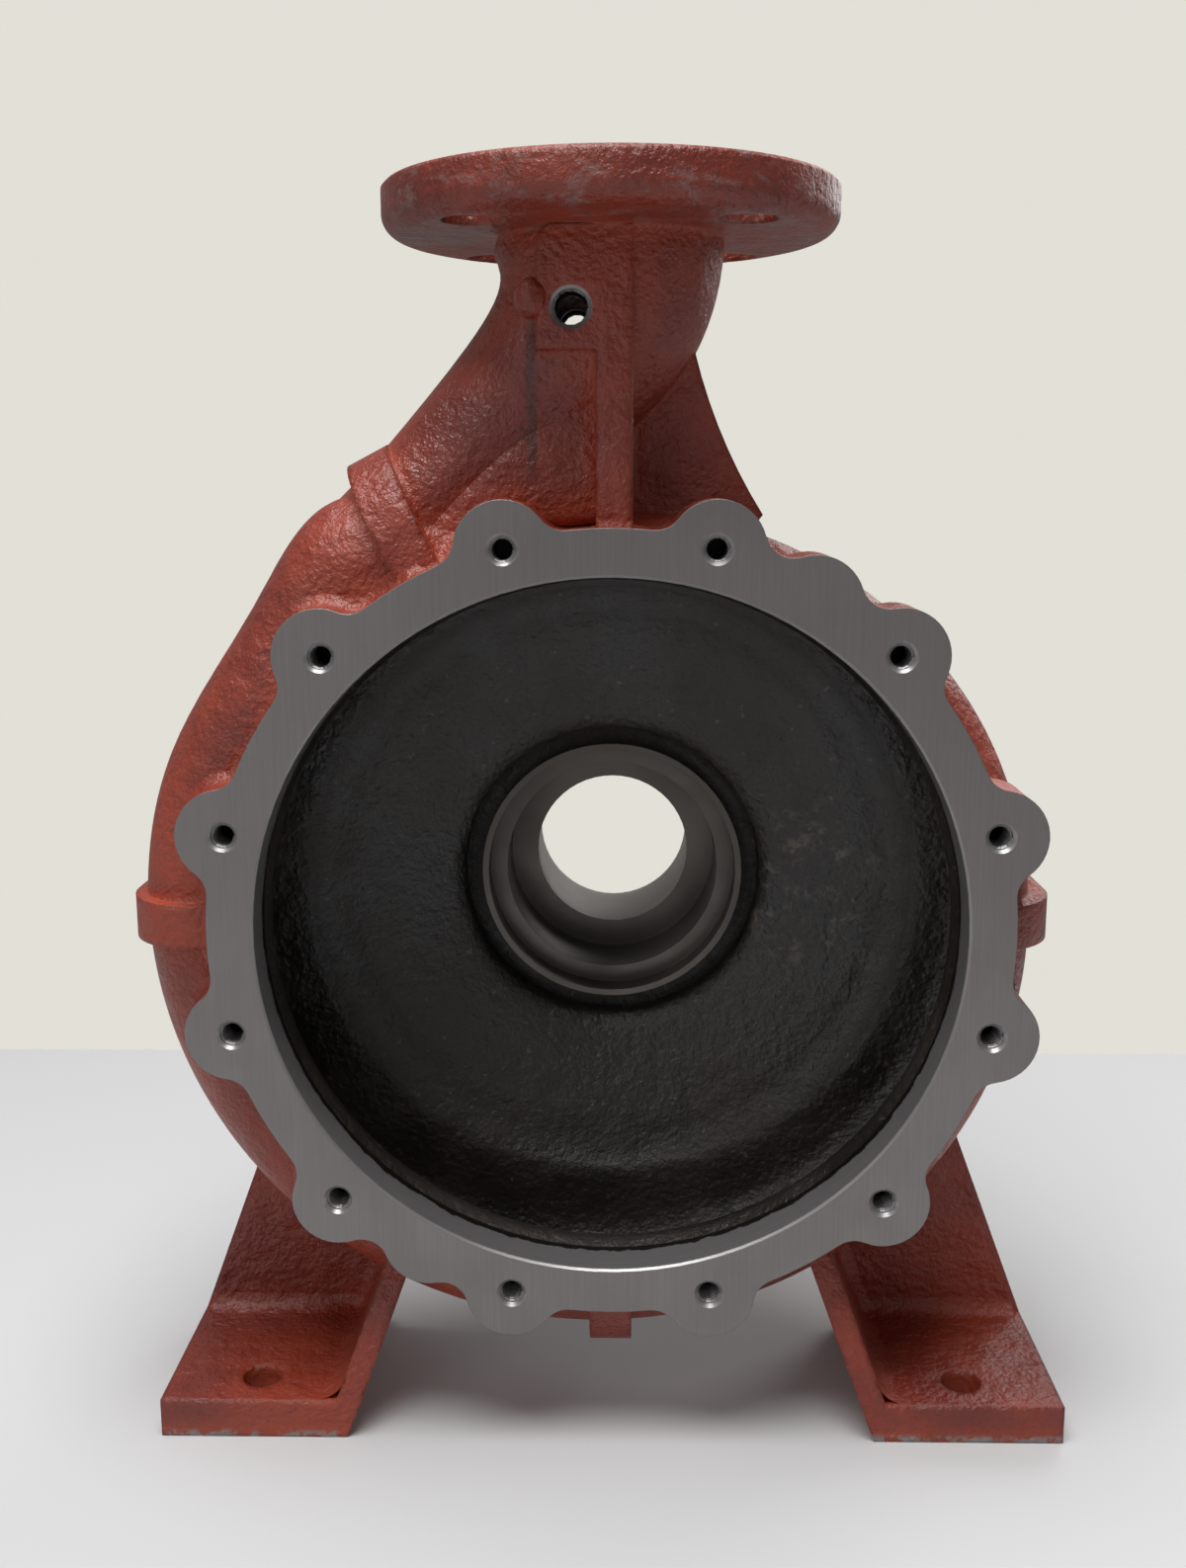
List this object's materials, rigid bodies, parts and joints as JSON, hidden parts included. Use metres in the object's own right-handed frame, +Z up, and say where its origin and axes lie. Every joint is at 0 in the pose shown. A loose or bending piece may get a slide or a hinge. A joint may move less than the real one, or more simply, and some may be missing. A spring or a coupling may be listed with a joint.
{
  "type": "volute pump casing",
  "caption": "Cast iron volute casing of an end-suction centrifugal pump: lobed cover flange, scroll, upward flanged discharge, rear flanged suction and two bolt-down feet.",
  "frame": {"origin": "centre of the shaft axis in the machined cover face", "axes": "+Z up along the discharge, +Y along the shaft axis from the cover side to the suction side, +X to the right seen from the cover side"},
  "size_m": [0.3284, 0.2092, 0.4304],
  "materials": {
    "casting": "red oxide paint over sand-cast iron, machined faces bare"
  },
  "bodies": {
    "root": {"volute_casing": "casting"}
  },
  "joints": []
}
